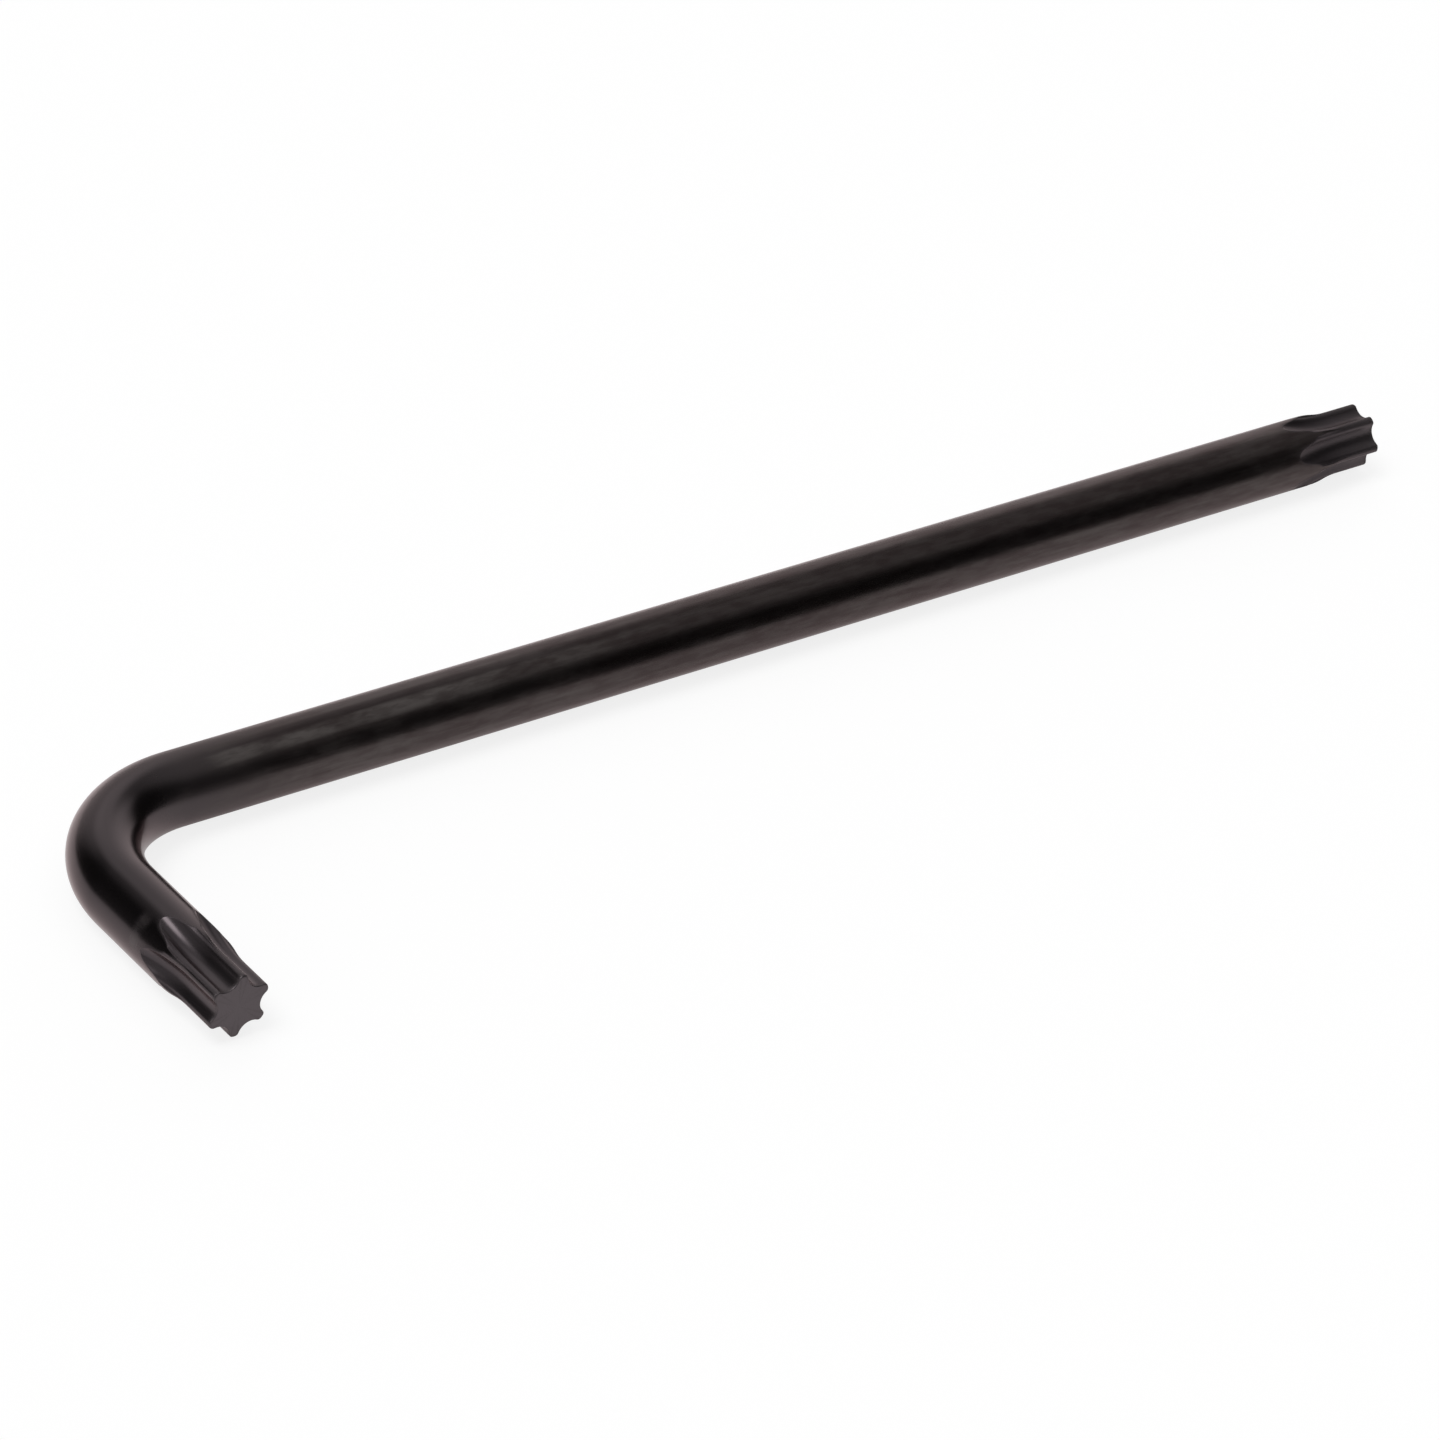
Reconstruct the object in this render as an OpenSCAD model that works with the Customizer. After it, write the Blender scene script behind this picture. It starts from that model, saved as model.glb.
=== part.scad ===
// Star-drive key: one length of round wire, bent once, with a six-lobe star formed on each end.
// It lies flat with its long arm along +X, its short arm towards -Y and its underside on Z = 0.

/* [Wire] */
// Diameter of the round wire
wire_d = 5; // [4.8:0.1:5.6]

/* [Arms] */
// Overall length of the long arm, from its end face to the outside of the short arm
long_arm = 112; // [60:1:200]
// Overall length of the short arm, from its end face to the outside of the long arm
short_arm = 25; // [22:0.5:60]
// Radius of the wire's centreline round the bend
bend_r = 9; // [7:0.5:10]

/* [Star] */
// Diameter over the six lobes
star_over = 4.5; // [4.4:0.05:4.5]
// Diameter across the bottoms of the flutes
star_root = 3.17; // [3.15:0.01:3.3]
// Radius of the rounding along each side of a lobe's crest
crest_r = 0.36; // [0.34:0.01:0.4]
// Width of the land left along the top of each crest
crest_land = 0.16; // [0.14:0.02:0.2]
// Length of full star section behind the end face
star_len = 3; // [2.5:0.25:4]
// How far before the flutes' run-out the wire's neck begins to rise from the lobes
neck_lead = 0.2; // [0.1:0.05:0.5]
// Length of the S-shaped neck, from the lobes up to the full wire
neck_len = 2.4; // [2:0.1:3]
// Radius on which the bottom of each flute sweeps up and out of the wire
runout_r = 12; // [8:0.5:14]
// Edge break round the end face
end_break = 0.12; // [0.05:0.01:0.2]

/* [Clocking] */
// Turn of the short arm's star, from one lobe straight up towards the long arm
short_star_deg = 7; // [-30:1:30]
// Turn of the long arm's star, from one lobe straight up towards the outside of the bend
long_star_deg = 28; // [-30:1:30]

/* [Hidden] */
$fn = 96;

wire_r = wire_d / 2;
over_r = star_over / 2;
root_r = star_root / 2;
lobes = 6;
half_pitch = 180 / lobes;

// The two arms' centrelines cross here, with the middle of the key's footprint at the origin.
corner = [wire_r - long_arm / 2, short_arm / 2 - wire_r];
long_reach = long_arm - wire_r;
short_reach = short_arm - wire_r;

// A flute's arc is tangent to the crest arcs on both sides of it, which fixes its radius.
crest_c = over_r - crest_r;
crest_x = crest_c * cos(half_pitch);
crest_y = crest_c * sin(half_pitch);
flute_r = (crest_c * crest_c + root_r * root_r - crest_r * crest_r - 2 * crest_x * root_r)
    / (2 * (crest_x + crest_r - root_r));
flute_c = root_r + flute_r;
tangency = flute_r / (flute_r + crest_r);
touch = [flute_c + tangency * (crest_x - flute_c), tangency * crest_y];

// Each flute is cleared up to the edge of the land, and on outwards past the wire's surface.
mouth_deg = half_pitch - asin(crest_land / 2 / crest_r);
mouth = [crest_x + crest_r * cos(mouth_deg), crest_y + crest_r * sin(mouth_deg)];
clearance = 0.5;
brim = mouth + (wire_r - over_r + clearance) * [cos(half_pitch), sin(half_pitch)];

// The sweep that ends a flute turns about an axis outside the wire, far enough to leave it.
sweep_c = root_r + runout_r;
sweep_deg = acos(1 - (wire_r - root_r + clearance) / runout_r);

// The neck is two equal arcs, hollow at the lobes and round at the wire.
neck_drop = wire_r - over_r;
neck_r = (neck_len * neck_len + neck_drop * neck_drop) / (4 * neck_drop);
neck_start = star_len - neck_lead;
tip_len = neck_start + neck_len;

// Section of one flute with the rounded sides of its lobes. X is the distance from the wire's axis.
module flute_section() {
    upper = [touch, [crest_x, crest_y], mouth, brim];
    lower = [for (i = [len(upper) - 1:-1:0]) [upper[i][0], -upper[i][1]]];
    difference() {
        union() {
            translate([flute_c, 0]) circle(r = flute_r);
            polygon(concat([[flute_c, 0]], upper, [[wire_r + clearance, 0]], lower));
        }
        for (side = [-1, 1]) translate([crest_x, side * crest_y]) circle(r = crest_r);
    }
}

// One flute: straight through the star, then swept up and out of the wire.
module flute_cut() {
    translate([0, 0, -clearance]) linear_extrude(star_len + clearance) flute_section();
    translate([sweep_c, 0, star_len]) rotate([90, 0, 180]) rotate_extrude(angle = sweep_deg)
        translate([sweep_c, 0]) mirror([1, 0]) flute_section();
}

// Half profile of the wire's end before fluting: end face on Y = 0, wire's axis on X = 0.
module tip_profile() {
    middle = neck_start + neck_len / 2;
    difference() {
        polygon([[0, 0], [over_r - end_break, 0], [over_r, end_break], [over_r, neck_start],
            [over_r + neck_drop / 2, neck_start], [over_r + neck_drop / 2, middle], [0, middle]]);
        translate([over_r + neck_r, neck_start]) circle(r = neck_r);
    }
    intersection() {
        translate([0, middle]) square([wire_r, neck_len / 2]);
        translate([wire_r - neck_r, tip_len]) circle(r = neck_r);
    }
}

// A straight arm that starts at its end face, with the star turned about the arm's axis.
module arm(length, turn) {
    difference() {
        union() {
            rotate_extrude() tip_profile();
            translate([0, 0, tip_len]) cylinder(r = wire_r, h = length - tip_len);
        }
        for (i = [0:lobes - 1]) rotate([0, 0, turn + (2 * i + 1) * half_pitch]) flute_cut();
    }
}

// The whole key, in one piece.
module star_key() {
    color([0.09, 0.085, 0.085]) translate([corner[0], corner[1], wire_r]) {
        translate([long_reach, 0, 0]) rotate([0, -90, 0]) arm(long_reach - bend_r, long_star_deg);
        translate([0, -short_reach, 0]) rotate([-90, 0, 0]) rotate([0, 0, -90])
            arm(short_reach - bend_r, short_star_deg);
        translate([bend_r, -bend_r, 0]) rotate_extrude(start = 90, angle = 90)
            translate([bend_r, 0]) circle(r = wire_r);
    }
}

star_key();
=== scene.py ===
"""Look of the star-drive key: one blackened steel wire, bent once, with a star formed on each end."""

import logging
import math
from bisect import bisect_left
from dataclasses import dataclass, field
from typing import Union

import bpy
from mathutils import Matrix, Vector


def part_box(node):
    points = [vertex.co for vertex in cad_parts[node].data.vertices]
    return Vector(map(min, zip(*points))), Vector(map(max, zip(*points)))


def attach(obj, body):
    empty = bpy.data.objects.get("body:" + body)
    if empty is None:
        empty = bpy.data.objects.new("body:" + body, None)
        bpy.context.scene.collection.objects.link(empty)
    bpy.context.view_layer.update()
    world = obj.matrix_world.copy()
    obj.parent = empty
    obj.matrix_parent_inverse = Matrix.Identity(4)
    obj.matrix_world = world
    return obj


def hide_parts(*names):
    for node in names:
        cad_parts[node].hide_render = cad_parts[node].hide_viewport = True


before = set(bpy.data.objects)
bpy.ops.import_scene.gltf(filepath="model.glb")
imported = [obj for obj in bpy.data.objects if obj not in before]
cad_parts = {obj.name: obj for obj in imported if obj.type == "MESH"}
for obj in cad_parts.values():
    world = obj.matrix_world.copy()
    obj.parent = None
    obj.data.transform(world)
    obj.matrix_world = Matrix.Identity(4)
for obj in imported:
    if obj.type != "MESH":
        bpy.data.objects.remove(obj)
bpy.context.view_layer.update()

LOG = logging.getLogger("star_key")
MM = 0.001
NODE = "star_key"
SLOT = "blackened_steel"

Span = tuple[float, float]
Point2 = tuple[float, float]
Point3 = tuple[float, float, float]
Colour = tuple[float, float, float]
Number = Union[float, "Socket"]


# --- Shader maths ---


class Socket:
    """A number in a node tree, so that shader maths reads as plain arithmetic."""

    def __init__(self, tree: "NodeTree", link: bpy.types.NodeSocket) -> None:
        """Wraps one output socket of a tree."""
        self.tree = tree
        self.link = link

    def _maths(self, operation: str, left: Number, right: Number) -> "Socket":
        """Adds one Math node and returns its result."""
        return self.tree.node("ShaderNodeMath", {"operation": operation}, {0: left, 1: right})

    def __add__(self, other: Number) -> "Socket":
        """Sum with a number or another socket."""
        return self._maths("ADD", self, other)

    def __radd__(self, other: Number) -> "Socket":
        """Sum, with the number on the left."""
        return self._maths("ADD", other, self)

    def __sub__(self, other: Number) -> "Socket":
        """Difference from this socket."""
        return self._maths("SUBTRACT", self, other)

    def __rsub__(self, other: Number) -> "Socket":
        """Difference, with the number on the left."""
        return self._maths("SUBTRACT", other, self)

    def __mul__(self, other: Number) -> "Socket":
        """Product with a number or another socket."""
        return self._maths("MULTIPLY", self, other)

    def __rmul__(self, other: Number) -> "Socket":
        """Product, with the number on the left."""
        return self._maths("MULTIPLY", other, self)

    def ramp(self, low: float, high: float) -> "Socket":
        """Eases from 0 to 1 while this socket goes from low to high, and is held outside them."""
        settings = {"interpolation_type": "SMOOTHSTEP", "clamp": True}
        return self.tree.node("ShaderNodeMapRange", settings, {0: self, 1: low, 2: high, 3: 0.0, 4: 1.0})

    def above(self, floor: float) -> "Socket":
        """Squeezes a share, so that it goes from a floor to 1 instead of from 0."""
        return floor + (1.0 - floor) * self


class NodeTree:
    """A node tree that is filled by one method."""

    def __init__(self, owner: bpy.types.Material | bpy.types.World) -> None:
        """Empties the owner's node tree, ready to be filled.

        Args:
            owner: the material or world whose nodes are written.
        """
        owner.use_nodes = True
        self.tree = owner.node_tree
        self.tree.nodes.clear()

    def node(
        self,
        kind: str,
        settings: dict[str, object] | None = None,
        inputs: dict[int | str, object] | None = None,
        output: int | str = 0,
    ) -> Socket:
        """Adds a node, with its settings first and its sockets after them.

        Args:
            kind: the node's type.
            settings: properties of the node.
            inputs: a value, or a Socket to link, for each input by index or name. Colours have three parts.
            output: the index or name of the output to return.

        Returns:
            The chosen output.
        """
        made = self.tree.nodes.new(kind)
        for name, value in (settings or {}).items():
            setattr(made, name, value)
        for key, value in (inputs or {}).items():
            if isinstance(value, Socket):
                self.tree.links.new(value.link, made.inputs[key])
            else:
                coloured = made.inputs[key].type == "RGBA"
                made.inputs[key].default_value = (*value, 1.0) if coloured else value
        return Socket(self, made.outputs[output] if made.outputs else None)

    def attribute(self, name: str, output: str) -> Socket:
        """Reads a value stored on the mesh."""
        return self.node("ShaderNodeAttribute", {"attribute_name": name}, {}, output)

    def vector(self, operation: str, *values: object, output: str = "Vector") -> Socket:
        """Adds one Vector Math node, given a vector or a Socket for each input."""
        return self.node("ShaderNodeVectorMath", {"operation": operation}, dict(enumerate(values)), output)

    def cone(self, way: Socket, axis: Point3, inner: float, outer: float) -> Socket:
        """Eases from 1 to 0 while a direction leaves an axis, from an inner to an outer angle in degrees."""
        facing = self.vector("DOT_PRODUCT", way, axis, output="Value")
        return facing.ramp(math.cos(math.radians(outer)), math.cos(math.radians(inner)))

    def noise(self, place: Socket, scale: Point3, detail: float, shift: float) -> Socket:
        """Cloudy noise, stretched by a scale of its own on each axis.

        Args:
            place: the coordinates, in millimetres.
            scale: blotches in a millimetre on each axis.
            detail: how many finer layers it has.
            shift: moves the pattern, so that two layers differ.

        Returns:
            Values about 0.5.
        """
        stretched = self.vector("MULTIPLY_ADD", place, scale, (shift, shift, shift))
        inputs = {"Vector": stretched, "Scale": 1.0, "Detail": detail}
        return self.node("ShaderNodeTexNoise", {}, inputs, "Fac")

    def mix_colour(self, factor: Number, low: object, high: object) -> Socket:
        """Mixes two colours, by the share of the second."""
        return self.node("ShaderNodeMix", {"data_type": "RGBA"}, {0: factor, 6: low, 7: high}, output=2)


# --- Finishes ---


@dataclass(frozen=True)
class Pattern:
    """A cloudy pattern on the straightened wire, with its scales in blotches a millimetre."""

    along: float
    across: float
    detail: float
    shift: float = 0.0


@dataclass(frozen=True)
class Shows:
    """How a pattern shows in a mark: hidden up to low, full from high, and never less than least."""

    low: float
    high: float
    least: float = 0.0

    def of(self, pattern: Socket) -> Socket:
        """How much of the pattern shows at each place."""
        eased = pattern.ramp(self.low, self.high)
        return eased.above(self.least) if self.least else eased


@dataclass(frozen=True)
class Strip:
    """A strip along the wire, by angles round it in degrees.

    Its middle leans from the top towards the inside of the bend, half is half of its width, and firm is
    the share of that over which the strip is full.
    """

    lean: float
    half: float
    firm: float = 0.3


@dataclass(frozen=True)
class Lengths:
    """Lengths along the straightened wire from the short arm's end face, in millimetres."""

    bend_end: float
    total: float
    flute_end: float


class WireMarks:
    """What working and handling left on the wire, as shares from 0 to 1 over its surface."""

    CLOUDS = Pattern(along=0.20, across=0.60, detail=5.0)
    LINES = Pattern(along=0.05, across=4.5, detail=3.0)
    STREAKS = Pattern(along=0.09, across=1.6, detail=4.0, shift=7.0)
    GRAIN = Pattern(along=9.0, across=14.0, detail=2.0)
    MOTTLE = Pattern(along=0.8, across=0.9, detail=4.0, shift=3.0)
    FLECKS = Pattern(along=0.6, across=2.2, detail=4.0, shift=11.0)
    RIPPLE = Pattern(along=0.4, across=1.5, detail=3.0, shift=5.0)

    # Spans that begin at a distance past the end of the bend and end at another.
    DRAWN = (-2.0, 11.0)
    TOUCHED = (-6.0, 3.0)
    UNTOUCHED = (16.0, 42.0)
    # Where the pale strip, partly a painted highlight, comes in.
    SHEEN_ONSET = (1.0, 3.5)
    # The same, at distances before the long arm's end face.
    HANDLED = (50.0, 18.0)
    COARSE = (12.0, 6.0)
    # Distances from either end face: full up to the first, and gone from the second.
    PRESSED = (0.6, 5.4)
    FACE = (0.08, 0.2)
    # Spans past the short arm's flutes, over which the ring there comes and goes; its lighter colour is
    # partly a painted reflection.
    RING_COMES = (0.15, 0.8)
    RING_GOES = (1.0, 1.65)

    # The pale strip is partly a scuff and partly a painted highlight, at a fixed angle round the wire.
    SHEEN_STRIP = Strip(lean=29.0, half=15.0)
    # A thin strip nearer the top, which holds a painted dark line of reflection.
    DARK_LINE_STRIP = Strip(lean=9.0, half=11.0)
    # The ring's strip, on one side of the wire only, where its lighter colour is partly a painted
    # reflection.
    RING_SHEEN_STRIP = Strip(lean=-62.0, half=36.0)

    # How the patterns, whose values lie about 0.5, show in each mark.
    RING_CLOUDS = Shows(0.25, 0.55)
    WEAR_MOTTLE = Shows(0.35, 0.65)
    DULL_CLOUDS = Shows(0.40, 0.66)
    DULL_MOTTLE = Shows(0.35, 0.6, least=0.5)
    BAND_CLOUDS = Shows(0.42, 0.58, least=0.2)
    BAND_FLECKS = Shows(0.34, 0.62, least=0.45)
    SMEARED_STREAKS = Shows(0.35, 0.65)
    SMEARED_LINES = Shows(0.3, 0.7, least=0.4)
    SPECKLED_FLECKS = Shows(0.38, 0.62)

    # Shares of the dullness: towards the long arm's end, in the haze, between the clouds and elsewhere.
    HANDLED_DULL = 0.5
    HAZY_DULL = 0.4
    CLEAR_DULL = 0.3
    PLAIN_DULL = 0.2
    # Shares of the scuffs: in streaks and flecks, and over all that is dull.
    MARKED_SCUFFS = 0.4
    DULL_SCUFFS = 0.3

    def __init__(self, tree: NodeTree, lengths: Lengths) -> None:
        """Adds the marks to a material.

        Args:
            tree: the material's node tree.
            lengths: lengths along the wire.
        """
        self.tree = tree
        self.lengths = lengths
        place = {0: tree.attribute("straightened", "Vector"), "Scale": 1.0 / MM}
        self.wire = tree.node("ShaderNodeVectorMath", {"operation": "SCALE"}, place)
        self.along = tree.node("ShaderNodeSeparateXYZ", {}, {0: self.wire}, "X")
        self.around = tree.vector("NORMALIZE", tree.vector("MULTIPLY", self.wire, (0.0, 1.0, 1.0)))
        self.clouds = self._laid(self.CLOUDS)
        self.lines = self._laid(self.LINES)
        self.streaks = self._laid(self.STREAKS)
        self.grain = self._laid(self.GRAIN)
        self.mottle = self._laid(self.MOTTLE)
        self.flecks = self._laid(self.FLECKS)
        self.ripple = self._laid(self.RIPPLE)
        self._stars()
        self._bend()
        self._scuffs()

    def _stars(self) -> None:
        """Marks of the press on the stars, the ring behind the short arm's, whose lighter colour is partly a
        painted reflection, and the wear on their edges.
        """
        flute = self.tree.attribute("flute", "Fac")
        self.edge = self.tree.attribute("edge_wear", "Fac")
        self.faces = self._near_faces(self.FACE)
        self.ends = self._near_faces(self.PRESSED)
        self.formed = flute + self.ends * (1.0 - flute)
        self.wear = self.edge * self.ends * self.WEAR_MOTTLE.of(self.mottle)
        # The ring behind the short arm's flutes: a real mark, kept to one side, whose lighter colour is
        # partly a painted reflection.
        ring = self._past_flutes(self.RING_COMES) - self._past_flutes(self.RING_GOES)
        self.ring = ring * self._on_strip(self.RING_SHEEN_STRIP) * self.RING_CLOUDS.of(self.clouds)
        self.coarse = self._before_end(self.COARSE)

    def _bend(self) -> None:
        """Marks of the bending tool and of hands on the long arm, the haze where they begin, and the strips
        of painted light beside the bend.
        """
        self.straight = self._past_bend(self.DRAWN)
        touched = self._past_bend(self.TOUCHED)
        self.hazy = touched - self.straight
        beside = touched * (1.0 - self._past_bend(self.UNTOUCHED))
        worked = beside + self.HANDLED_DULL * self._before_end(self.HANDLED) + self.HAZY_DULL * self.hazy
        cloudy = self.DULL_CLOUDS.of(self.clouds) * self.DULL_MOTTLE.of(self.mottle)
        self.dull = worked * cloudy.above(self.CLEAR_DULL) + self.PLAIN_DULL * cloudy * self.straight
        # The band: a pale strip at a fixed angle round the wire, partly a scuff and partly a painted
        # highlight.
        band = self._on_strip(self.SHEEN_STRIP) * beside * self.BAND_CLOUDS.of(self.clouds)
        self.band = band * self._past_bend(self.SHEEN_ONSET) * self.BAND_FLECKS.of(self.flecks)
        # Painted shade: a dark line at a fixed angle round the wire, beside the pale strip.
        self.painted_shade = self._on_strip(self.DARK_LINE_STRIP) * beside * self.straight

    def _scuffs(self) -> None:
        """Scuffs of the long arm, smeared along it or speckled, and of all that is dull."""
        smeared = self.MARKED_SCUFFS * self.SMEARED_STREAKS.of(self.streaks)
        smeared = smeared * self.SMEARED_LINES.of(self.lines)
        speckled = self.MARKED_SCUFFS * self.SPECKLED_FLECKS.of(self.flecks)
        self.scuffs = (smeared + speckled) * self.straight + self.dull * (self.DULL_SCUFFS + smeared)

    def _laid(self, pattern: Pattern) -> Socket:
        """A pattern laid on the wire."""
        scale = (pattern.along, pattern.across, pattern.across)
        return self.tree.noise(self.wire, scale, pattern.detail, pattern.shift)

    def _past_flutes(self, span: Span) -> Socket:
        """Eases from 0 to 1 over a span past the end of the short arm's flutes."""
        return self.along.ramp(self.lengths.flute_end + span[0], self.lengths.flute_end + span[1])

    def _past_bend(self, span: Span) -> Socket:
        """Eases from 0 to 1 over a span past the end of the bend."""
        return self.along.ramp(self.lengths.bend_end + span[0], self.lengths.bend_end + span[1])

    def _before_end(self, span: Span) -> Socket:
        """Eases from 0 to 1 over a span before the long arm's end face."""
        return self.along.ramp(self.lengths.total - span[0], self.lengths.total - span[1])

    def _near_faces(self, fade: Span) -> Socket:
        """Eases from 1 to 0 with the distance from the nearer end face."""
        full, none = fade
        return 1.0 - self.along.ramp(full, none) * (1.0 - self._before_end((none, full)))

    def _on_strip(self, strip: Strip) -> Socket:
        """How far a place lies on a strip along the wire, from 0 beside it to 1 in its middle."""
        middle = (0.0, math.cos(math.radians(strip.lean)), math.sin(math.radians(strip.lean)))
        return self.tree.cone(self.around, middle, strip.firm * strip.half, strip.half)


@dataclass(frozen=True)
class Roughness:
    """Roughness of the plain oxide, and what each mark adds to it."""

    plain: float = 0.21
    straight: float = 0.06
    dull: float = 0.07
    lines: float = 0.03
    ring: float = 0.15
    formed: float = 0.07
    edge: float = 0.20
    coarse: float = 0.08
    hazy: float = 0.16

    def over(self, marks: WireMarks) -> Socket:
        """Adds up the roughness.

        Args:
            marks: the marks on the wire.

        Returns:
            The roughness at each place on the wire.
        """
        rough = self.plain + self.straight * marks.straight + self.dull * marks.dull
        rough = rough + self.lines * (marks.lines - 0.5) + self.ring * marks.ring
        rough = rough + self.formed * marks.formed + self.edge * marks.edge
        return rough + self.coarse * marks.coarse + self.hazy * marks.hazy


@dataclass(frozen=True)
class Relief:
    """Depth of the fine relief in metres, its strength, and the share that each pattern has in it."""

    depth: float = 0.004 * MM
    strength: float = 0.35
    lines: float = 0.9
    streaks: float = 0.5
    grain: float = 0.15
    clouds: float = 0.3
    mottle: float = 0.1
    ripple: float = 8.0

    def over(self, tree: NodeTree, marks: WireMarks) -> Socket:
        """Adds the relief to a material.

        Args:
            tree: the material's node tree.
            marks: the marks on the wire.

        Returns:
            The normal that it gives.
        """
        height = self.lines * marks.lines + self.streaks * marks.streaks + self.grain * marks.grain
        height = height + self.clouds * marks.clouds + self.mottle * marks.mottle
        height = height + self.ripple * marks.straight * marks.ripple
        inputs = {"Strength": self.strength, "Distance": self.depth, "Height": height}
        return tree.node("ShaderNodeBump", {}, inputs, "Normal")


@dataclass(frozen=True)
class BlackOxide:
    """Black oxide over drawn steel wire, sealed with a thin film of oil.

    The bend has an even bloom. The long arm is darker, with drawn lines, flecks and a faint ripple, and is
    dull beside the bend. There it has a pale strip at a fixed angle round the wire, partly where the bending
    tool rubbed it and partly a painted highlight, with a painted dark line beside it. The stars are duller
    and paler where they were pressed, most of all towards their ends. Marks also make it less metallic.
    """

    lengths: Lengths
    oxide: Colour = (0.0434, 0.0332, 0.0330)
    bloom: Colour = (0.0610, 0.0520, 0.0545)
    scuffed: Colour = (0.0720, 0.0618, 0.0600)
    # Colour of the painted dark line along the top of the long arm.
    painted_dark_line: Colour = (0.0300, 0.0230, 0.0235)
    # Colour of the pale strip, partly a painted highlight.
    painted_sheen: Colour = (0.135, 0.121, 0.116)
    pressed: Colour = (0.0645, 0.0550, 0.0590)
    tip: Colour = (0.0760, 0.0655, 0.0690)
    face: Colour = (0.0900, 0.0780, 0.0830)
    # Colour of the worn edges, and of the ring, where it is partly a painted reflection.
    rubbed_and_sheen: Colour = (0.150, 0.135, 0.130)
    edge_tint: Colour = (1.0, 0.90, 0.90)
    # Share of the painted dark line's colour in its strip.
    painted_dark_line_share: float = 0.6
    # Share of the painted highlight colour in the pale strip.
    painted_sheen_share: float = 0.8
    rubbed_wear: float = 0.1
    # Share of that colour in the ring, partly a painted reflection.
    ring_and_sheen_share: float = 0.15
    unmetal_dull: float = 0.10
    unmetal_formed: float = 0.03
    unmetal_ring: float = 0.25
    roughness: Roughness = Roughness()
    relief: Relief = Relief()

    def material(self) -> bpy.types.Material:
        """Makes the finish.

        Returns:
            The new material.
        """
        made = bpy.data.materials.new(SLOT)
        tree = NodeTree(made)
        marks = WireMarks(tree, self.lengths)
        metallic = 1.0 - self.unmetal_dull * marks.dull - self.unmetal_formed * marks.formed
        inputs = {
            "Base Color": self._colour(tree, marks),
            "Metallic": metallic - self.unmetal_ring * marks.ring,
            "Roughness": self.roughness.over(marks),
            "Normal": self.relief.over(tree, marks),
            "Specular Tint": self.edge_tint,
        }
        shader = tree.node("ShaderNodeBsdfPrincipled", {}, inputs)
        tree.node("ShaderNodeOutputMaterial", {}, {"Surface": shader})
        return made

    def _colour(self, tree: NodeTree, marks: WireMarks) -> Socket:
        """Tints the oxide, from the plain wire to the worn edges, with painted light in the strips beside
        the bend and in the ring.

        Args:
            tree: the material's node tree.
            marks: the marks on the wire.

        Returns:
            The colour.
        """
        plain = tree.mix_colour(marks.straight, self.bloom, self.oxide)
        colour = tree.mix_colour(marks.scuffs, plain, self.scuffed)
        # Painted dark line: a dark reflection along the long arm's top beside the bend.
        colour = tree.mix_colour(self.painted_dark_line_share * marks.painted_shade, colour, self.painted_dark_line)
        # Pale strip: partly a scuff, partly a painted highlight.
        colour = tree.mix_colour(self.painted_sheen_share * marks.band, colour, self.painted_sheen)
        worn = tree.mix_colour(marks.faces, tree.mix_colour(marks.ends, self.pressed, self.tip), self.face)
        colour = tree.mix_colour(marks.formed, colour, worn)
        # Worn edges, and the ring, whose lighter colour is partly a painted reflection.
        rubbed_and_sheen = self.rubbed_wear * marks.wear + self.ring_and_sheen_share * marks.ring
        return tree.mix_colour(rubbed_and_sheen, colour, self.rubbed_and_sheen)


# --- The star ---

LOBES = 6
# Angle from the middle of a flute to the middle of a lobe.
HALF_PITCH = math.pi / LOBES


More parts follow.
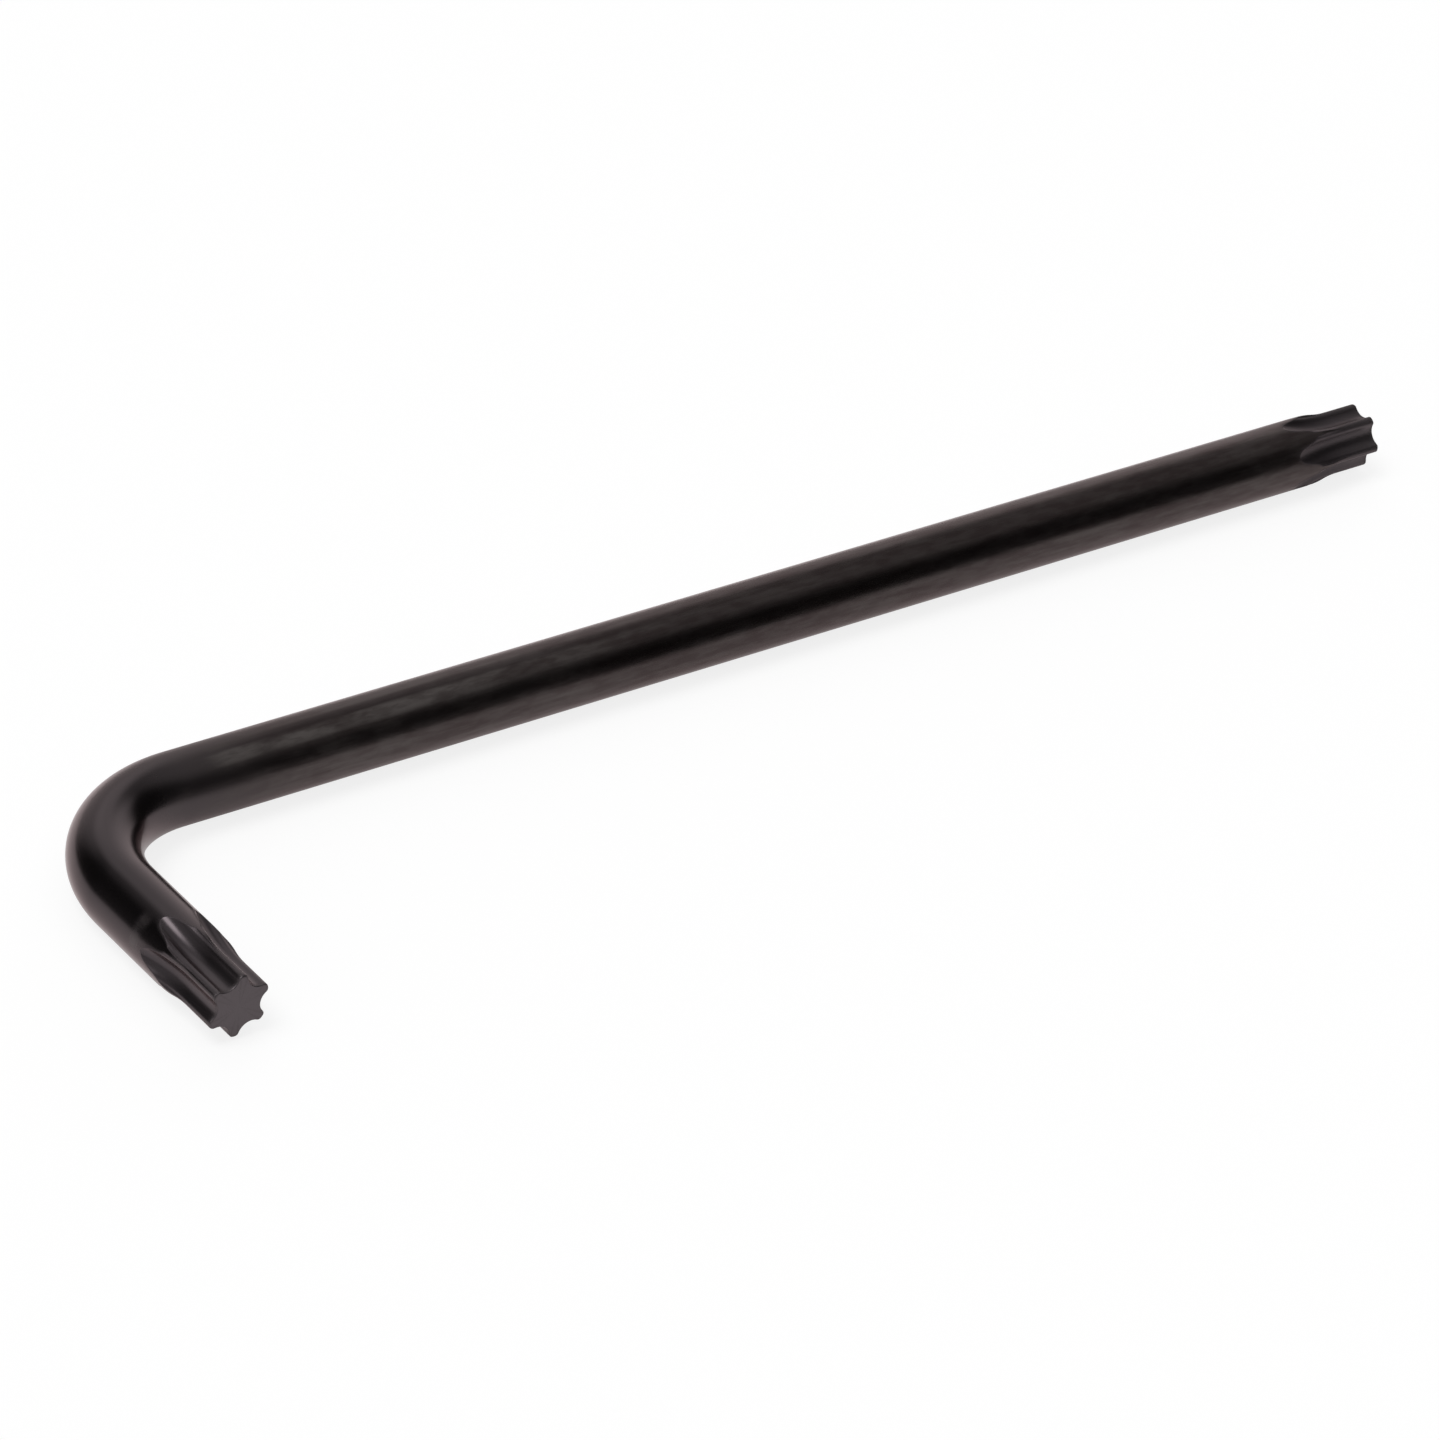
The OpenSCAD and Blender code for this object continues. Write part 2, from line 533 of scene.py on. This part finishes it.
@dataclass(frozen=True)
class Star:
    """Sizes of the star on an arm's end and of the way it grows out of the wire, in metres.

    The last fields are the skin's own: the rounding of its edges, the neck's rise over which the crests'
    rounding gives way, the angle below which a flute is too narrow to lead the points, the length behind
    the flutes over which the points go over to even spacing, and how far the cut goes on past the wire.
    """

    wire_r: float
    over_r: float = 2.25 * MM
    root_r: float = 1.585 * MM
    crest_r: float = 0.36 * MM
    crest_land: float = 0.16 * MM
    full_len: float = 3.0 * MM
    neck_lead: float = 0.2 * MM
    neck_len: float = 2.4 * MM
    runout_r: float = 12.0 * MM
    end_break: float = 0.12 * MM
    end_round: float = 0.05 * MM
    edge_round: float = 0.08 * MM
    crest_rise: float = 0.06 * MM
    narrow: float = math.radians(4.0)
    settle: float = 2.0 * MM
    clearance: float = 0.3 * MM

    @property
    def flute_end(self) -> float:
        """Distance from the end face to where the flutes run out of the wire."""
        rise = self.wire_r - self.root_r
        return self.full_len + math.sqrt(rise * (2.0 * self.runout_r - rise))

    def blank_r(self, depth: float) -> float:
        """Radius of the wire before fluting.

        Args:
            depth: distance from the end face.

        Returns:
            The radius there: the broken end's, the lobes', the neck's or the full wire's.
        """
        if depth < self.end_break:
            below = self.end_break - depth
            return self.over_r - self.end_break + math.sqrt(self.end_break**2 - below**2)
        drop = self.wire_r - self.over_r
        along = depth - (self.full_len - self.neck_lead)
        if along <= 0.0:
            return self.over_r
        if along >= self.neck_len:
            return self.wire_r
        bend = (self.neck_len**2 + drop**2) / (4.0 * drop)
        if along <= self.neck_len / 2.0:
            return self.over_r + bend - math.sqrt(bend**2 - along**2)
        return self.wire_r - bend + math.sqrt(bend**2 - (self.neck_len - along) ** 2)

    def full_flute(self, steps: int = 40) -> list[Point2]:
        """Half of a flute in the full star, from its bottom out over the side of a lobe.

        Args:
            steps: number of points on each of its two arcs.

        Returns:
            Points (x, y), with x along the flute's middle line and y across it.
        """
        crest_c = self.over_r - self.crest_r
        crest_x = crest_c * math.cos(HALF_PITCH)
        crest_y = crest_c * math.sin(HALF_PITCH)
        flute_r = (crest_c**2 + self.root_r**2 - self.crest_r**2 - 2.0 * crest_x * self.root_r) / (
            2.0 * (crest_x + self.crest_r - self.root_r)
        )
        flute_c = self.root_r + flute_r
        touch = math.atan2(crest_y, flute_c - crest_x)
        mouth = HALF_PITCH - math.asin(self.crest_land / 2.0 / self.crest_r)
        points = []
        for i in range(steps):
            turn = touch * i / steps
            points.append((flute_c - flute_r * math.cos(turn), flute_r * math.sin(turn)))
        for i in range(steps + 1):
            turn = -touch + (mouth + touch) * i / steps
            points.append((crest_x + self.crest_r * math.cos(turn), crest_y + self.crest_r * math.sin(turn)))
        brim = self.wire_r - self.over_r + self.clearance
        x, y = points[-1]
        points.append((x + brim * math.cos(HALF_PITCH), y + brim * math.sin(HALF_PITCH)))
        return points

    def flute_at(self, depth: float) -> list[Point2]:
        """The same half flute after the cutter has swept outwards.

        Args:
            depth: distance from the end face.

        Returns:
            Points (x, y) of the cut at that depth.
        """
        beyond = max(0.0, depth - self.full_len)
        centre = self.root_r + self.runout_r
        return [(centre - math.sqrt((centre - x) ** 2 - beyond**2), y) for x, y in self.full_flute()]


class Outline:
    """Half of one flute and half of one lobe at some depth, with the edge between them rounded.

    Its points are spread over the flute's cut, the edge and the land behind the edge.
    """

    CUT = 11
    EDGE = 5
    LAND = 5
    STEPS = CUT + EDGE + LAND
    # Share of the edge's rounding that is lost where the flutes run out.
    SHARPENED = 0.8
    # Share of the cut's and of the land's length that the rounding may take.
    ROOM = 0.45

    def __init__(self, star: Star, depth: float) -> None:
        """Works out the outline.

        Args:
            star: the star's sizes.
            depth: distance from the end face.
        """
        self.star = star
        self.radius = star.blank_r(depth)
        swept = (depth - star.full_len) / (star.flute_end - star.full_len)
        self.edge_round = star.edge_round * (1.0 - self.SHARPENED * min(max(swept, 0.0), 1.0))
        cut = star.flute_at(depth)
        corner, angle = self._sharp(cut) if depth < star.flute_end else ([], 0.0)
        if angle > star.narrow:
            points = self._round_edge(corner, angle)
        else:
            points = [self._lower(cut, turn) for turn in self._spread(depth)]
        self.points = points[: self.CUT] + [self._under_crest(point) for point in points[self.CUT :]]

    def _under_crest(self, point: Point2) -> Point2:
        """Keeps a point on the lobe's round crest, up to where the neck has risen well above it.

        Args:
            point: a point on the lobe.

        Returns:
            The same point, or the one below it on the crest.
        """
        star = self.star
        rise = max(0.0, self.radius - star.over_r)
        share = max(0.0, 1.0 - rise / star.crest_rise)
        off = HALF_PITCH - math.atan2(point[1], point[0])
        centre = star.over_r - star.crest_r
        below = math.sqrt(max(0.0, star.crest_r**2 - (centre * math.sin(off)) ** 2))
        crest = centre * math.cos(off) + below + rise
        scale = 1.0 - share * max(0.0, 1.0 - crest / math.hypot(*point))
        return (point[0] * scale, point[1] * scale)

    def _spread(self, depth: float) -> list[float]:
        """Places the points where the flute is too narrow to lead them.

        Args:
            depth: distance from the end face.

        Returns:
            Each point's angle, which goes over to even spacing behind the flutes.
        """
        star = self.star
        back = self.edge_round / self.radius
        first, last = star.narrow - back, star.narrow + back
        turns = [first * i / self.CUT for i in range(self.CUT + 1)]
        turns += [first + (last - first) * i / self.EDGE for i in range(1, self.EDGE + 1)]
        turns += [last + (HALF_PITCH - last) * i / self.LAND for i in range(1, self.LAND + 1)]
        share = min(max((depth - star.flute_end) / star.settle, 0.0), 1.0)
        share = share * share * (3.0 - 2.0 * share)
        even = HALF_PITCH / self.STEPS
        return [turn + share * (even * i - turn) for i, turn in enumerate(turns)]

    def _lower(self, cut: list[Point2], turn: float) -> Point2:
        """Finds the lower of the cut and the wire's surface.

        Args:
            cut: the whole cut, which goes on past the wire's surface.
            turn: angle from the flute's middle line.

        Returns:
            The point at that angle.
        """
        turns = [math.atan2(y, x) for x, y in cut]
        reach = math.hypot(*_along(cut, turns, min(turn, turns[-1])))
        return _polar(min(reach, self.radius), turn)

    def _sharp(self, cut: list[Point2]) -> tuple[list[Point2], float]:
        """Ends the cut where it meets the wire's surface.

        Args:
            cut: points of the flute, from its bottom outwards.

        Returns:
            The points inside the wire with the meeting point last, and that point's angle.
        """
        radii = [math.hypot(x, y) for x, y in cut]
        corner = _along(cut, radii, self.radius)
        return [*cut[: bisect_left(radii, self.radius)], corner], math.atan2(corner[1], corner[0])

    def _round_edge(self, cut: list[Point2], angle: float) -> list[Point2]:
        """Spreads the outline's points and rounds its edge.

        Args:
            cut: the flute's points, ending at the edge.
            angle: the edge's angle from the flute's middle line.

        Returns:
            The outline from the flute's middle to the lobe's middle.
        """
        lengths = [0.0]
        for (x0, y0), (x1, y1) in zip(cut, cut[1:]):
            lengths.append(lengths[-1] + math.hypot(x1 - x0, y1 - y0))
        land = self.radius * (HALF_PITCH - angle)
        back = min(self.edge_round, self.ROOM * lengths[-1], self.ROOM * land)
        points = [_along(cut, lengths, (lengths[-1] - back) * i / self.CUT) for i in range(self.CUT + 1)]
        turn = angle + back / self.radius
        first, corner, last = points[-1], cut[-1], _polar(self.radius, turn)
        for i in range(1, self.EDGE + 1):
            t = i / self.EDGE
            points.append(_between(_between(first, corner, t), _between(corner, last, t), t))
        for i in range(1, self.LAND + 1):
            points.append(_polar(self.radius, turn + (HALF_PITCH - turn) * i / self.LAND))
        return points


def _between(a: Point2, b: Point2, share: float) -> Point2:
    """Point on the way from a to b, at share of it."""
    return (a[0] + share * (b[0] - a[0]), a[1] + share * (b[1] - a[1]))


def _polar(radius: float, turn: float) -> Point2:
    """Point at a radius and an angle."""
    return (radius * math.cos(turn), radius * math.sin(turn))


def _along(points: list[Point2], values: list[float], wanted: float) -> Point2:
    """Finds a place on a chain of points.

    Args:
        points: the chain.
        values: a value at each point, rising along the chain.
        wanted: the value to find.

    Returns:
        The place that has it.
    """
    place = min(max(bisect_left(values, wanted), 1), len(points) - 1)
    share = (wanted - values[place - 1]) / (values[place] - values[place - 1])
    return _between(points[place - 1], points[place], share)


def _widening(start: float, length: float, steps: int, power: float) -> list[float]:
    """Places in a number of steps from start, not itself one of them, ever wider apart by a power."""
    return [start + length * (i / steps) ** power for i in range(1, steps + 1)]


def _inset(points: list[Point2], by: float) -> list[Point2]:
    """Moves an outline inwards.

    Args:
        points: the outline of half a flute and half a lobe.
        by: how far to move it.

    Returns:
        The moved outline.
    """
    (x, y), moved = points[0], []
    moved.append((x - by, y))
    for (x0, y0), (x, y), (x1, y1) in zip(points, points[1:], points[2:]):
        length = math.hypot(x1 - x0, y1 - y0)
        moved.append((x - by * (y1 - y0) / length, y + by * (x1 - x0) / length))
    x, y = points[-1]
    shrink = 1.0 - by / math.hypot(x, y)
    moved.append((x * shrink, y * shrink))
    return moved


# --- The wire ---


@dataclass(frozen=True)
class Ring:
    """One closed section of the skin: its place along the wire, its points and their wear."""

    along: float
    points: list[Point2]
    edge: list[float]
    flute: list[float]

    def moved(self, along: float) -> "Ring":
        """The same section at another place along the wire."""
        return Ring(along, self.points, self.edge, self.flute)


@dataclass(frozen=True)
class StarEnd:
    """Sections of one end of the wire, from its face to plain wire.

    The steps are each stretch's sections, and its spread is how fast they draw apart, where 1 is even. The
    wear fades over worn_len behind the face and over worn_points points beside an edge, and the flutes'
    finish over blend_len.
    """

    star: Star
    face_scales: tuple[float, ...] = (0.12, 0.4, 0.68, 0.9, 0.97)
    break_steps: int = 6
    star_steps: int = 7
    sweep_steps: int = 40
    settle_steps: int = 12
    star_spread: float = 1.3
    sweep_spread: float = 1.4
    settle_spread: float = 1.2
    worn_len: float = 0.25 * MM
    blend_len: float = 0.6 * MM
    worn_points: float = 2.0

    def rings(self) -> list[Ring]:
        """All sections of the end, each placed by its depth behind the end face."""
        return [*self._face(), *self._edge_break(), *self._body()]

    def _face(self) -> list[Ring]:
        """Shrinks the rim of the end face towards its middle.

        Returns:
            The sections across the end face, from its middle outwards.
        """
        rim = _inset(Outline(self.star, 0.0).points, self.star.end_round)
        shrunk = ([(x * scale, y * scale) for x, y in rim] for scale in self.face_scales)
        return [self._section(0.0, outline, edge=0.0, flute=1.0, land=1.0) for outline in shrunk]

    def _edge_break(self) -> list[Ring]:
        """Rounds the edge of the end face.

        Returns:
            The sections round that edge, from the face outwards.
        """
        rings = []
        for i in range(self.break_steps):
            lean = math.pi / 2.0 * i / self.break_steps
            depth = self.star.end_break * (1.0 - math.cos(lean))
            outline = _inset(Outline(self.star, depth).points, self.star.end_round * (1.0 - math.sin(lean)))
            rings.append(self._section(depth, outline, edge=1.0, flute=1.0, land=1.0))
        return rings

    def _body(self) -> list[Ring]:
        """Carries the outline along the star, its neck and the run-out of its flutes.

        Returns:
            The sections from the end face's edge to plain wire.
        """
        star, rings = self.star, []
        for depth in self._depths():
            edge = max(0.0, 1.0 - (depth - star.end_break) / self.worn_len)
            flute = min(max((star.flute_end + self.blend_len / 2.0 - depth) / self.blend_len, 0.0), 1.0)
            rings.append(self._section(depth, Outline(star, depth).points, edge, flute))
        return rings

    def _depths(self) -> list[float]:
        """Spaces the body's sections, closest together where the flutes run out.

        Returns:
            The depth of each section behind the end face.
        """
        star = self.star
        straight = star.full_len - star.neck_lead
        sweep = star.flute_end - straight
        shares = [i / self.sweep_steps for i in range(1, self.sweep_steps + 1)]
        depths = [star.end_break]
        depths += _widening(star.end_break, straight - star.end_break, self.star_steps, self.star_spread)
        depths += [straight + sweep * (1.0 - (1.0 - share) ** self.sweep_spread) for share in shares]
        return depths + _widening(star.flute_end, star.settle, self.settle_steps, self.settle_spread)

    def _section(
        self, depth: float, outline: list[Point2], edge: float, flute: float, land: float = 0.0
    ) -> Ring:
        """Repeats half a flute and half a lobe all round the star.

        Args:
            depth: the section's depth behind the end face.
            outline: points from a flute's middle to a lobe's middle.
            edge: wear of the whole section, between 0 and 1.
            flute: share of the pressed finish that the flutes have.
            land: the same for the lobes between them.

        Returns:
            The section, which starts at the middle of the lobe before the first flute.
        """
        wear, formed = [], []
        for j in range(Outline.STEPS + 1):
            off = abs(j - Outline.CUT - Outline.EDGE / 2.0) - Outline.EDGE / 2.0
            wear.append(max(edge, flute * max(0.0, 1.0 - max(off, 0.0) / self.worn_points)))
            formed.append(flute if j <= Outline.CUT + Outline.EDGE else land)
        sector = [(x, -y) for x, y in reversed(outline)] + outline[1:-1]
        points = []
        for i in range(LOBES):
            turn = 2.0 * HALF_PITCH * (i + 0.5)
            c, s = math.cos(turn), math.sin(turn)
            points += [(x * c - y * s, x * s + y * c) for x, y in sector]
        wear, formed = (wear[::-1] + wear[1:-1]) * LOBES, (formed[::-1] + formed[1:-1]) * LOBES
        return Ring(depth, points, wear, formed)


@dataclass
class SkinPoints:
    """The skin's points, with what the finish reads at each of them."""

    places: list[Vector] = field(default_factory=list)
    straightened: list[float] = field(default_factory=list)
    edge: list[float] = field(default_factory=list)
    flute: list[float] = field(default_factory=list)

    def add(self, place: Vector, straightened: Point3, edge: float, flute: float) -> None:
        """Adds a point.

        Args:
            place: where it is.
            straightened: where it is on the straightened wire.
            edge: wear of the edge there.
            flute: share of the pressed finish there.
        """
        self.places.append(place)
        self.straightened.extend(straightened)
        self.edge.append(edge)
        self.flute.append(flute)

    def store(self, mesh: bpy.types.Mesh) -> None:
        """Stores what the finish reads.

        Args:
            mesh: the mesh that has these points.
        """
        straightened = mesh.attributes.new("straightened", "FLOAT_VECTOR", "POINT")
        straightened.data.foreach_set("vector", self.straightened)
        mesh.attributes.new("edge_wear", "FLOAT", "POINT").data.foreach_set("value", self.edge)
        mesh.attributes.new("flute", "FLOAT", "POINT").data.foreach_set("value", self.flute)


@dataclass
class StarKey:
    """The whole key: both stars, both arms and the bend, as one skin."""

    wire_r: float
    long_arm: float
    short_arm: float
    corner: Vector
    bend_r: float = 9.0 * MM
    long_star_turn: float = math.radians(28.0)
    short_star_turn: float = math.radians(7.0)
    short_steps: int = 4
    bend_steps: int = 56
    long_steps: int = 44

    @classmethod
    def from_frame(cls) -> "StarKey":
        """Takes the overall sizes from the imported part's box.

        Returns:
            The key.
        """
        low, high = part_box(NODE)
        size = high - low
        wire_r = size.z / 2.0
        corner = Vector((low.x + wire_r, high.y - wire_r, low.z + wire_r))
        return cls(wire_r=wire_r, long_arm=size.x, short_arm=size.y, corner=corner)

    @property
    def short_straight(self) -> float:
        """Length of the short arm before the bend."""
        return self.short_arm - self.wire_r - self.bend_r

    @property
    def bend_end(self) -> float:
        """Length along the wire to the end of the bend."""
        return self.short_straight + self.bend_r * math.pi / 2.0

    @property
    def length(self) -> float:
        """Length of the wire, from the short arm's end face to the long arm's."""
        return self.bend_end + self.long_arm - self.wire_r - self.bend_r

    def place(self, along: float) -> Matrix:
        """Frame of a section: its first axis up, its second towards the inside of the bend.

        Args:
            along: length along the wire from the short arm's end face.

        Returns:
            The matrix that puts a section's points in place.
        """
        beta = min(max((along - self.short_straight) / self.bend_r, 0.0), math.pi / 2.0)
        c, s = math.cos(beta), math.sin(beta)
        centre = self.corner + Vector((self.bend_r, -self.bend_r, 0.0))
        point = centre + self.bend_r * Vector((-c, s, 0.0))
        before = min(along - self.short_straight, 0.0)
        after = max(along - self.bend_end, 0.0)
        point += Vector((after, before, 0.0))
        turned = Matrix(((0.0, c, s), (0.0, -s, c), (1.0, 0.0, 0.0)))
        return Matrix.Translation(point) @ turned.to_4x4()

    def rings(self) -> list[tuple[float, Ring]]:
        """All sections of the key.

        Returns:
            Each section's turn about the wire, and the section, from one end face to the other.
        """
        star = StarEnd(Star(self.wire_r)).rings()
        plain = star[-1]
        far = self.length - plain.along
        first = self.short_star_turn
        last = 2.0 * HALF_PITCH - self.long_star_turn
        stops = (
            (plain.along, self.short_straight, self.short_steps),
            (self.short_straight, self.bend_end, self.bend_steps),
            (self.bend_end, far, self.long_steps),
        )
        turned = [(first, ring) for ring in star]
        for start, end, count in stops:
            for i in range(1, count + 1):
                along = start + (end - start) * i / count
                share = max(0.0, (along - self.bend_end) / (far - self.bend_end))
                turned.append((first + (last - first) * share, plain.moved(along)))
        for ring in reversed(star[:-1]):
            turned.append((last, ring.moved(self.length - ring.along)))
        return turned

    def skin_points(self, rings: list[tuple[float, Ring]]) -> SkinPoints:
        """Puts the sections in place, with the middles of the two end faces after them.

        Args:
            rings: each section's turn about the wire, and the section.

        Returns:
            The skin's points.
        """
        skin = SkinPoints()
        for turn, ring in rings:
            spun = Matrix.Rotation(turn, 4, "Z")
            placed = self.place(ring.along) @ spun
            for (x, y), edge, flute in zip(ring.points, ring.edge, ring.flute):
                around = spun @ Vector((x, y, 0.0))
                skin.add(placed @ Vector((x, y, 0.0)), (ring.along, around.x, around.y), edge, flute)
        for along in (0.0, self.length):
            skin.add(self.place(along) @ Vector((0.0, 0.0, 0.0)), (along, 0.0, 0.0), edge=0.0, flute=1.0)
        return skin

    @staticmethod
    def skin_faces(rows: int) -> list[tuple[int, ...]]:
        """Joins the sections and closes the two end faces.

        Args:
            rows: how many sections there are.

        Returns:
            The points of each face.
        """
        count = 2 * LOBES * Outline.STEPS
        neighbours = [(i, (i + 1) % count) for i in range(count)]
        faces = []
        for row in range(rows - 1):
            a, b = row * count, (row + 1) * count
            faces += [(a + i, b + i, b + j, a + j) for i, j in neighbours]
        last, middle = (rows - 1) * count, rows * count
        faces += [(i, j, middle) for i, j in neighbours]
        return faces + [(last + j, last + i, middle + 1) for i, j in neighbours]

    def build(self) -> bpy.types.Object:
        """Makes the skin and dresses it.

        Returns:
            The new object.
        """
        rings = self.rings()
        skin = self.skin_points(rings)
        mesh = bpy.data.meshes.new(NODE + "_skin")
        mesh.from_pydata(skin.places, [], self.skin_faces(len(rings)))
        skin.store(mesh)
        mesh.polygons.foreach_set("use_smooth", [True] * len(mesh.polygons))
        lengths = Lengths(self.bend_end / MM, self.length / MM, Star(self.wire_r).flute_end / MM)
        mesh.materials.append(BlackOxide(lengths).material())
        mesh.update()
        made = bpy.data.objects.new(NODE + "_skin", mesh)
        bpy.context.scene.collection.objects.link(made)
        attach(made, "root")
        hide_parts(NODE)
        return made


# --- The studio ---


def bearing(azimuth: float, elevation: float = 0.0) -> Point3:
    """Unit vector for a direction, with the azimuth in degrees from +Y towards +X."""
    a, e = math.radians(azimuth), math.radians(elevation)
    return (math.sin(a) * math.cos(e), math.cos(a) * math.cos(e), math.sin(e))


@dataclass(frozen=True)
class Surroundings:
    """Directions in the world's node tree: each one, the same levelled, and the sine of its elevation."""

    tree: NodeTree
    way: Socket
    level: Socket
    height: Socket


@dataclass(frozen=True)
class Panel:
    """An upright bright side of the studio, with soft edges. Angles are in degrees."""

    azimuth: float
    inner: float
    outer: float
    top: Span
    strength: float

    def glow(self, around: Surroundings) -> Socket:
        """Light from the panel in each direction.

        Args:
            around: the directions.

        Returns:
            The panel's light there.
        """
        wide = around.tree.cone(around.level, bearing(self.azimuth), self.inner, self.outer)
        low, high = (math.sin(math.radians(angle)) for angle in self.top)
        return self.strength * wide * (1.0 - around.height.ramp(low, high))


@dataclass(frozen=True)
class Lamp:
    """A round soft light in the studio. Angles are in degrees."""

    azimuth: float
    elevation: float
    inner: float
    outer: float
    strength: float

    def glow(self, around: Surroundings) -> Socket:
        """Light from the lamp in each direction."""
        towards = bearing(self.azimuth, self.elevation)
        return self.strength * around.tree.cone(around.way, towards, self.inner, self.outer)


@dataclass
class Studio:
    """White table in a dim studio, with pale panels at the back and on the left, and lamps above them.

    Glossy surfaces see the table as lit only round the key, with its light falling off beyond.
    """

    floor_size: float = 6.0
    floor_colour: Colour = (0.22, 0.22, 0.22)
    lift: float = 0.83
    near_colour: Colour = (0.62, 0.60, 0.60)
    near_lift: float = 0.55
    far_colour: Colour = (0.12, 0.12, 0.12)
    lit: Point3 = (54.0 * MM, 5.0 * MM, 0.0)
    falloff: Span = (4.0 * MM, 62.0 * MM)
    ambient: float = 0.03
    overhead: float = 0.5
    overhead_rise: Span = (0.60, 0.85)
    lights: tuple[Panel | Lamp, ...] = (
        Panel(azimuth=30.0, inner=18.0, outer=50.0, top=(30.0, 42.0), strength=0.6),
        Panel(azimuth=54.0, inner=8.0, outer=24.0, top=(30.0, 42.0), strength=0.46),
        Panel(azimuth=-95.0, inner=28.0, outer=50.0, top=(45.0, 75.0), strength=0.5),
        Lamp(azimuth=22.0, elevation=44.0, inner=5.0, outer=22.0, strength=0.6),
        Lamp(azimuth=-85.0, elevation=66.0, inner=10.0, outer=20.0, strength=4.8),
    )

    def build(self) -> None:
        """Sets up the floor and the world."""
        self._floor()
        self._world()

    def _floor(self) -> None:
        """Lays the table top."""
        half = self.floor_size / 2.0
        corners = [(-half, -half, 0.0), (half, -half, 0.0), (half, half, 0.0), (-half, half, 0.0)]
        mesh = bpy.data.meshes.new("floor")
        mesh.from_pydata(corners, [], [(0, 1, 2, 3)])
        made = bpy.data.materials.new("white_table")
        tree = NodeTree(made)
        plain = self._table(tree, self.floor_colour, self.lift)
        near = self._table(tree, self.near_colour, self.near_lift)
        far = self._table(tree, self.far_colour, 0.0)
        mirrored = tree.node("ShaderNodeMixShader", {}, {0: self._away(tree), 1: near, 2: far})
        shiny = tree.node("ShaderNodeLightPath", {}, {}, "Is Glossy Ray")
        both = tree.node("ShaderNodeMixShader", {}, {0: shiny, 1: plain, 2: mirrored})
        tree.node("ShaderNodeOutputMaterial", {}, {"Surface": both})
        mesh.materials.append(made)
        floor = bpy.data.objects.new("floor", mesh)
        bpy.context.scene.collection.objects.link(floor)

    @staticmethod
    def _table(tree: NodeTree, colour: Colour, lift: float) -> Socket:
        """Matt surface with a little light of its own.

        Args:
            tree: the floor's node tree.
            colour: the surface's colour.
            lift: the light that it gives off, where 1 is white.

        Returns:
            The shader.
        """
        matt = tree.node("ShaderNodeBsdfDiffuse", {}, {"Color": colour})
        glow = tree.node("ShaderNodeEmission", {}, {"Strength": lift})
        return tree.node("ShaderNodeAddShader", {}, {0: matt, 1: glow})

    def _away(self, tree: NodeTree) -> Socket:
        """How far a place on the table is from its lit part.

        Distances count to the right, to the left and to the front, so that the lit part goes on to the back.

        Args:
            tree: the floor's node tree.

        Returns:
            The distance, eased from 0 to 1.
        """
        place = tree.node("ShaderNodeTexCoord", {}, {}, "Object")
        right = tree.vector("MULTIPLY", place, (1.0, -1.0, 0.0))
        left = tree.vector("MULTIPLY", place, (-1.0, -1.0, 0.0))
        beyond = tree.vector("SUBTRACT", tree.vector("MAXIMUM", right, left), self.lit)
        outside = tree.vector("MAXIMUM", beyond, (0.0, 0.0, 0.0))
        return tree.vector("LENGTH", outside, output="Value").ramp(*self.falloff)

    def _world(self) -> None:
        """Gives the surroundings their light."""
        world = bpy.data.worlds.new("studio")
        bpy.context.scene.world = world
        tree = NodeTree(world)
        seen = tree.node("ShaderNodeLightPath", {}, {}, "Is Camera Ray")
        way = tree.node("ShaderNodeTexCoord", {}, {}, "Generated")
        height = tree.node("ShaderNodeSeparateXYZ", {}, {0: way}, "Z")
        level = tree.vector("NORMALIZE", tree.vector("MULTIPLY", way, (1.0, 1.0, 0.0)))
        around = Surroundings(tree, way, level, height)
        glow = self.ambient + self.overhead * height.ramp(*self.overhead_rise)
        for light in self.lights:
            glow = glow + light.glow(around)
        strength = seen + (1.0 - seen) * glow
        lamp = tree.node("ShaderNodeBackground", {}, {"Color": (1.0, 1.0, 1.0), "Strength": strength})
        tree.node("ShaderNodeOutputWorld", {}, {"Surface": lamp})


@dataclass(frozen=True)
class Viewpoint:
    """Where the key is seen from: a long lens over the short arm. Angles are in degrees."""

    azimuth: float = 38.8
    elevation: float = 32.46
    roll: float = 6.17
    distance: float = 429.0 * MM
    lens: float = 161.7
    sensor: float = 36.0
    target: Vector = Vector((-8.03 * MM, 0.30 * MM, 2.5 * MM))

    def build(self) -> None:
        """Makes the camera."""
        ahead = Vector(bearing(self.azimuth, -self.elevation))
        level = Vector(bearing(self.azimuth + 90.0))
        above = level.cross(ahead)
        c, s = math.cos(math.radians(self.roll)), math.sin(math.radians(self.roll))
        right = c * level + s * above
        up = c * above - s * level
        data = bpy.data.cameras.new("camera")
        data.lens = self.lens
        data.sensor_width = self.sensor
        camera = bpy.data.objects.new("camera", data)
        turned = Matrix((right, up, -ahead)).transposed().to_4x4()
        camera.matrix_world = Matrix.Translation(self.target - ahead * self.distance) @ turned
        bpy.context.scene.collection.objects.link(camera)
        bpy.context.scene.camera = camera


def main() -> None:
    """Builds the key, the studio and the camera."""
    logging.basicConfig(level=logging.INFO, format="%(name)s: %(message)s")
    bpy.context.scene.view_settings.view_transform = "Standard"
    skin = StarKey.from_frame().build()
    LOG.info("%s: %d points, %d faces", skin.name, len(skin.data.vertices), len(skin.data.polygons))
    Studio().build()
    LOG.info("studio: floor and lights")
    Viewpoint().build()
    LOG.info("camera")


if __name__ == "__main__":
    main()
